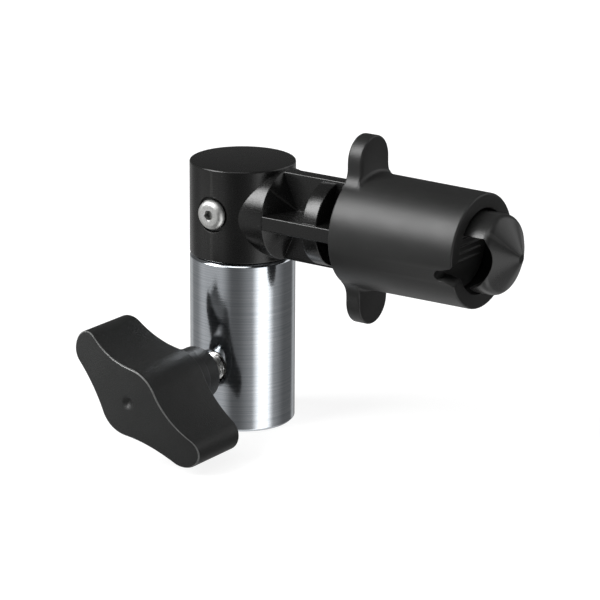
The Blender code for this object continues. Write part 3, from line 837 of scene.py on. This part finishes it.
def clip_spring():
    """Compression spring with closed end turns, its wire cut square."""
    wire_r, coil_r = 0.4, 6.4
    end_turns, turns, steps = 0.8, 4.6, 48
    low, high = SPRING_REAR + wire_r, SPRING_FRONT - wire_r
    closed_pitch = 2 * wire_r + 0.1
    open_pitch = (high - low - 2 * end_turns * closed_pitch) / (turns - 2 * end_turns)
    sides = 14
    count = int(turns * steps)
    height = low
    rings = []
    for i in range(count + 1):
        bearing = 2 * math.pi * i / steps
        outward = Vector((math.cos(bearing), math.sin(bearing), 0))
        centre = outward * coil_r + Vector((0, 0, height))
        ring = []
        for k in range(sides):
            a = 2 * math.pi * k / sides
            ring.append(centre + outward * wire_r * math.cos(a) + Vector((0, 0, wire_r * math.sin(a))))
        rings.append(ring)
        closed = i < end_turns * steps or i >= (turns - end_turns) * steps
        height += (closed_pitch if closed else open_pitch) / steps
    return loft("coil_spring", rings, ARM)


def collar_radius(angle, barrel_r, inset):
    """Distance from the axis to the collar's outline; angle 0 points at an ear."""
    a = abs((angle + math.pi / 2) % math.pi - math.pi / 2)
    half = EAR_HALF - inset
    centre = EAR_TIP - inset - half
    fillet = EAR_FILLET + inset
    fillet_y = half + fillet
    fillet_z = math.sqrt((COLLAR_REAR_R + fillet) ** 2 - fillet_y ** 2)
    if a < math.atan2(half, centre):
        return centre * math.cos(a) + math.sqrt(half ** 2 - (centre * math.sin(a)) ** 2)
    if a < math.atan2(half, fillet_z):
        return half / math.sin(a)
    if a < math.atan2(fillet_y, fillet_z):
        along = fillet_y * math.sin(a) + fillet_z * math.cos(a)
        return along - math.sqrt(max(fillet ** 2 - fillet_y ** 2 - fillet_z ** 2 + along ** 2, 0.0))
    return barrel_r


def pull_collar():
    """Barrel, ears, bores and inner wall in one skin; the rim's notches are cut through it."""
    edge = 0.5
    inner_edge = 0.35
    ear_root = 1.3
    steps = 6
    quarter = [i * 1.0 for i in range(50)] + [50 + i * 2.5 for i in range(16)]     # close at the ears
    half = quarter + [90.0] + [180 - a for a in reversed(quarter[1:])]
    angles = [math.radians(a) for a in half + [a + 180 for a in half]]
    ear_front = COLLAR_REAR + EAR_THICK

    def outline(x, barrel_r, inset=0.0, limit=EAR_TIP):
        radii = [max(min(collar_radius(a, barrel_r, inset), limit), barrel_r) for a in angles]
        return [(-r * math.cos(a), r * math.sin(a), x) for r, a in zip(radii, angles)]

    def circle(x, radius):
        return [(-radius * math.cos(a), radius * math.sin(a), x) for a in angles]

    sweeps = [QUARTER_TURN * k / steps for k in range(steps + 1)]
    rings = []
    for a in sweeps:
        inset = edge * (1 - math.sin(a))
        rings.append(outline(COLLAR_REAR + edge * (1 - math.cos(a)), COLLAR_REAR_R - inset, inset))
    for a in sweeps:
        inset = edge * (1 - math.cos(a))
        rings.append(outline(ear_front - edge * (1 - math.sin(a)), COLLAR_REAR_R, inset))
    for a in sweeps[1:]:
        limit = COLLAR_REAR_R + ear_root * (1 - math.sin(a))
        rings.append(outline(ear_front + ear_root * (1 - math.cos(a)), COLLAR_REAR_R, limit=limit))
    for a in sweeps:
        radius = COLLAR_FRONT_R - edge * (1 - math.cos(a))
        rings.append(circle(COLLAR_FRONT - edge * (1 - math.sin(a)), radius))
    for a in sweeps:
        radius = COLLAR_FRONT_BORE + inner_edge * (1 - math.sin(a))
        rings.append(circle(COLLAR_FRONT - inner_edge * (1 - math.cos(a)), radius))
    hole_r = ROD_R + GAP
    corner, bevel = 0.4, 0.2
    inside = [(COLLAR_FRONT_BORE, WEB_FRONT + corner), (COLLAR_FRONT_BORE - corner, WEB_FRONT),
              (hole_r + bevel, WEB_FRONT), (hole_r, WEB_FRONT - bevel), (hole_r, WEB_REAR + bevel),
              (hole_r + bevel, WEB_REAR), (COLLAR_REAR_BORE - corner, WEB_REAR),
              (COLLAR_REAR_BORE, WEB_REAR - corner)]
    rings += [circle(x, radius) for radius, x in inside]
    for a in sweeps:
        radius = COLLAR_REAR_BORE + inner_edge * (1 - math.cos(a))
        rings.append(circle(COLLAR_REAR + inner_edge * (1 - math.sin(a)), radius))
    collar = loft("spring_collar", rings, ARM, closed=True)
    cut(collar, rim_notch())
    return collar


def rim_notch():
    """Flared notches on opposite sides of the collar's mouth, cut through its axis."""
    depth, end_r, mouth_half, lip = 5.2, 1.5, 2.35, 0.5
    end_x = COLLAR_FRONT - depth + end_r
    beyond = COLLAR_FRONT + 1.0
    lip_half = mouth_half + lip
    outline = [(beyond, -lip_half - 1.0), (beyond, lip_half + 1.0), (COLLAR_FRONT, lip_half),
               (COLLAR_FRONT - lip, mouth_half), *arc(end_x, 0, end_r, 80, 280, 16),
               (COLLAR_FRONT - lip, -mouth_half), (COLLAR_FRONT, -lip_half)]
    place = ACROSS @ Matrix.Rotation(NOTCH_TILT, 4, "X")
    return plate("rim_notch", outline, -20, 20, place)


def hook_tip():
    """The nose: a plug whose cross slot leaves a hook under a shallow round cone."""
    rear = WEB_FRONT + GAP
    corners = [(0, TIP_APEX), (1.0, TIP_APEX, 1.3), (TIP_R, TIP_SHOULDER, TIP_SHOULDER_R), (TIP_R, rear, 0.5),
               (0, rear)]
    tip = turned("hook_nose", rounded(corners, steps=12), ARM, FINE)
    cut(tip, hook_slot())
    join(tip, *grip_ridges())
    hole_r, hole_end = ROD_R + GAP, ROD_FRONT + GAP
    hole = [(0, hole_end), (hole_r, hole_end), (hole_r, rear - 2), (0, rear - 2)]
    cut(tip, turned("tip_rod_hole", hole, ARM, SMALL), pin_hole("tip_pin_hole"))
    return tip


def hook_slot():
    """Flat roof, round front, and a mouth that opens downwards behind the hook's beak."""
    roof_angle = math.degrees(math.asin((SLOT_ROOF - SLOT_FRONT_Z) / SLOT_FRONT_R))
    beak_angle = -82
    front = arc(SLOT_FRONT_X, SLOT_FRONT_Z, SLOT_FRONT_R, roof_angle, beak_angle, 48)
    below = -TIP_R - 2
    mouth_x = front[-1][0] - 0.3
    rear = rounded([(mouth_x, below), (SLOT_REAR, below), (SLOT_REAR, SLOT_ROOF, 0.4), front[0]])
    return plate("hook_slot", [*front, *rear[:-1]], -16, 16, ACROSS)


def grip_ridges():
    """Fine ridges across the slot's rear wall."""
    lowest, pitch, half, half_width = -3.0, 1.8, 0.45, 7.5
    root, crest = SLOT_REAR - 0.5, SLOT_REAR + 0.6
    ridges = []
    for i in range(4):
        z = lowest + i * pitch
        outline = rounded([(root, z - half), (crest, z, 0.12), (root, z + half)], 3)
        ridges.append(plate("ridge_%d" % i, outline, -half_width, half_width, ACROSS))
    return ridges


def build_pieces():
    """Every piece: how it is made, its CAD node, its body, its slot and its material."""
    zinc = steel("zinc_steel", 0.62, 1.4, 0.2)
    fine_steel = steel("turned_steel", 0.58, 2.2, 0.2)
    screw_zinc = steel("screw_zinc", 0.68, 2.6, 0.38)
    machined = brass()
    drawn = wire()
    pieces = [
        (stand_sleeve, "stand_sleeve", "stand_body", "turned_chrome", chrome()),
        (pivot_spigot, "pivot_spigot", "stand_body", "bright_steel", fine_steel),
        (friction_ring, "friction_ring", "stand_body", "nitrile_rubber", nitrile()),
        (thrust_washer, "thrust_washer", "stand_body", "white_nylon", nylon()),
        (clamp_pad, "clamp_pad", "clamp_shoe", "brass", machined),
        (clamp_stud, "clamp_stud", "knob", "bright_steel", zinc),
        (knob_grip, "knob_grip", "knob", "textured_black_moulding", textured_black()),
        (swivel_head, "swivel_head", "head", "gloss_black_moulding", gloss_black()),
        (retaining_screw, "retaining_screw", "head", "bright_steel", screw_zinc),
        (screw_insert, "screw_insert", "head", "brass", machined),
        (core_rod, "core_rod", "head", "bright_steel", fine_steel),
        (spring_seat_rear, "spring_seat_rear", "head", "bright_steel", zinc),
        (clip_spring, "clip_spring", "head", "spring_steel", drawn),
        (hook_tip, "hook_tip", "head", "gloss_black_moulding", tip_black()),
        (tip_pin, "tip_pin", "head", "spring_steel", drawn),
        (pull_collar, "pull_collar", "collar", "satin_black_moulding", satin_black()),
        (spring_seat_front, "spring_seat_front", "collar", "bright_steel", zinc),
    ]
    made = {}
    for make, node, body, slot, material in pieces:
        made[node] = place_piece(make(), node, body, material)
    spring = made["clip_spring"]
    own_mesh(spring)


# ---------------------------------------------------------------- stage, light and camera

def floor():
    """A wide pale floor, a little bright of itself so that it reads as white paper."""
    reach, drop = 4.0, 0.1 * MM
    paper, brightness = (0.3, 0.3, 0.3, 1.0), 0.86
    mesh = bpy.data.meshes.new("floor")
    shape = bmesh.new()
    bmesh.ops.create_grid(shape, x_segments=4, y_segments=4, size=reach)
    shape.to_mesh(mesh)
    shape.free()
    obj = add_object("floor", mesh, Matrix.Translation((0, 0, -drop)))
    material = bpy.data.materials.new("floor_paper")
    material.use_nodes = True
    tree = material.node_tree
    shader = tree.nodes["Principled BSDF"]
    shader.inputs["Base Color"].default_value = paper
    shader.inputs["Roughness"].default_value = 0.9
    shader.inputs["Specular IOR Level"].default_value = 0.0
    shader.inputs["Emission Color"].default_value = (1.0, 1.0, 1.0, 1.0)
    path = tree.nodes.new("ShaderNodeLightPath")
    glow = tree.nodes.new("ShaderNodeMath")
    glow.operation = "MULTIPLY"
    glow.inputs[1].default_value = brightness
    tree.links.new(path.outputs["Is Camera Ray"], glow.inputs[0])
    tree.links.new(glow.outputs[0], shader.inputs["Emission Strength"])
    mesh.materials.append(material)
    obj.visible_glossy = False


class Studio:
    """The world's light by direction: soft panels in a grey room, in degrees from the camera's side.

    Azimuth 0 is towards -Y and 90 towards +X; elevation is above the horizon."""

    def __init__(self):
        world = bpy.data.worlds.new("studio")
        bpy.context.scene.world = world
        world.use_nodes = True
        self.tree = world.node_tree
        self.tree.nodes.clear()
        direction = self.tree.nodes.new("ShaderNodeTexCoord").outputs["Generated"]
        split = self.tree.nodes.new("ShaderNodeSeparateXYZ")
        self.tree.links.new(direction, split.inputs[0])
        x, y, z = split.outputs
        flipped = self.calc("MULTIPLY", y, -1.0)
        self.azimuth = self.calc("MULTIPLY", self.calc("ARCTAN2", x, flipped), 180 / math.pi)
        self.elevation = self.calc("MULTIPLY", self.calc("ARCSINE", z, 0.0), 180 / math.pi)
        self.total = None

    def calc(self, operation, first, second):
        node = self.tree.nodes.new("ShaderNodeMath")
        node.operation = operation
        for socket, value in zip(node.inputs, (first, second)):
            if isinstance(value, bpy.types.NodeSocket):
                self.tree.links.new(value, socket)
            else:
                socket.default_value = value
        return node.outputs[0]

    def fade(self, distance, half, soft):
        """1 within half of the panel's centre, falling smoothly to 0 over soft degrees."""
        node = self.tree.nodes.new("ShaderNodeMapRange")
        node.interpolation_type = "SMOOTHSTEP"
        self.tree.links.new(distance, node.inputs["Value"])
        node.inputs["From Min"].default_value = half + soft
        node.inputs["From Max"].default_value = half
        return node.outputs["Result"]

    def panel(self, strength, azimuth, half, soft, low, high, soft_up):
        """A panel round an azimuth, between two elevations."""
        turn = self.calc("FLOORED_MODULO", self.calc("SUBTRACT", self.azimuth, azimuth - 180.0), 360.0)
        across = self.calc("ABSOLUTE", self.calc("SUBTRACT", turn, 180.0), 0.0)
        rise = self.calc("ABSOLUTE", self.calc("SUBTRACT", self.elevation, (low + high) / 2), 0.0)
        sideways = self.fade(across, half, soft)
        upwards = self.fade(rise, (high - low) / 2, soft_up)
        mask = self.calc("MULTIPLY", sideways, upwards)
        self.add(self.calc("MULTIPLY", mask, strength))

    def add(self, light):
        self.total = light if self.total is None else self.calc("ADD", self.total, light)

    def finish(self):
        """Glossy and diffuse rays see the panels; the camera sees a white surround."""
        tree = self.tree
        lit = tree.nodes.new("ShaderNodeBackground")
        lit.inputs["Color"].default_value = (1.0, 1.0, 1.0, 1.0)
        tree.links.new(self.total, lit.inputs["Strength"])
        white = tree.nodes.new("ShaderNodeBackground")
        white.inputs["Color"].default_value = (1.0, 1.0, 1.0, 1.0)
        mix = tree.nodes.new("ShaderNodeMixShader")
        path = tree.nodes.new("ShaderNodeLightPath")
        tree.links.new(path.outputs["Is Camera Ray"], mix.inputs["Fac"])
        tree.links.new(lit.outputs[0], mix.inputs[1])
        tree.links.new(white.outputs[0], mix.inputs[2])
        output = tree.nodes.new("ShaderNodeOutputWorld")
        tree.links.new(mix.outputs[0], output.inputs["Surface"])


def light():
    """Each panel: strength, azimuth, half width, soft edge, lowest, highest, soft edge up."""
    studio = Studio()
    grey_room = (0.08, 0.0, 180.0, 1.0, -90.0, 90.0, 1.0)
    main_softbox = (12.0, -38.0, 14.0, 16.0, 30.0, 48.0, 12.0)
    right_strip = (1.3, 82.0, 8.0, 19.0, -70.0, 0.0, 14.0)
    strip_spill = (0.26, 82.0, 14.0, 45.0, -60.0, 0.0, 15.0)
    rear_softbox = (0.95, 142.0, 18.0, 20.0, 10.0, 45.0, 15.0)
    overhead_softbox = (2.0, 15.0, 30.0, 20.0, 56.0, 76.0, 8.0)
    front_reflector = (0.34, -34.0, 20.0, 28.0, -38.0, 0.0, 10.0)
    table_left = (0.12, -95.0, 25.0, 20.0, -45.0, 5.0, 12.0)
    backdrop = (0.3, 184.0, 5.0, 10.0, -45.0, -8.0, 8.0)
    table_behind = (0.24, -132.0, 22.0, 12.0, -60.0, -16.0, 12.0)
    table_around = (0.035, 0.0, 180.0, 1.0, -70.0, -10.0, 8.0)
    table_below = (0.55, 0.0, 180.0, 1.0, -90.0, -58.0, 22.0)
    for panel in (grey_room, main_softbox, right_strip, strip_spill, rear_softbox, overhead_softbox,
                  front_reflector, table_left, backdrop, table_behind, table_around, table_below):
        studio.panel(*panel)
    studio.finish()


def camera():
    """The view from the front left of the hook: bearing, height and roll of a long lens."""
    azimuth, elevation, roll = (math.radians(a) for a in (34.70778, 17.16135, 0.37935))
    place = (0.440975, -0.609882, 0.264899)
    focal_length, sensor_width = 177.489, 36.0
    back = Vector((math.sin(azimuth) * math.cos(elevation), -math.cos(azimuth) * math.cos(elevation),
                   math.sin(elevation)))
    level = Vector((math.cos(azimuth), math.sin(azimuth), 0.0))
    up = back.cross(level)
    right = level * math.cos(roll) + up * math.sin(roll)
    up = up * math.cos(roll) - level * math.sin(roll)
    data = bpy.data.cameras.new("camera")
    data.lens = focal_length
    data.sensor_width = sensor_width
    data.clip_start = 0.01
    obj = bpy.data.objects.new("camera", data)
    rotation = Matrix((right, up, back)).transposed().to_4x4()
    obj.matrix_world = Matrix.Translation(place) @ rotation
    bpy.context.scene.collection.objects.link(obj)
    bpy.context.scene.camera = obj


build_pieces()
floor()
light()
camera()
bpy.context.scene.view_settings.view_transform = "Standard"
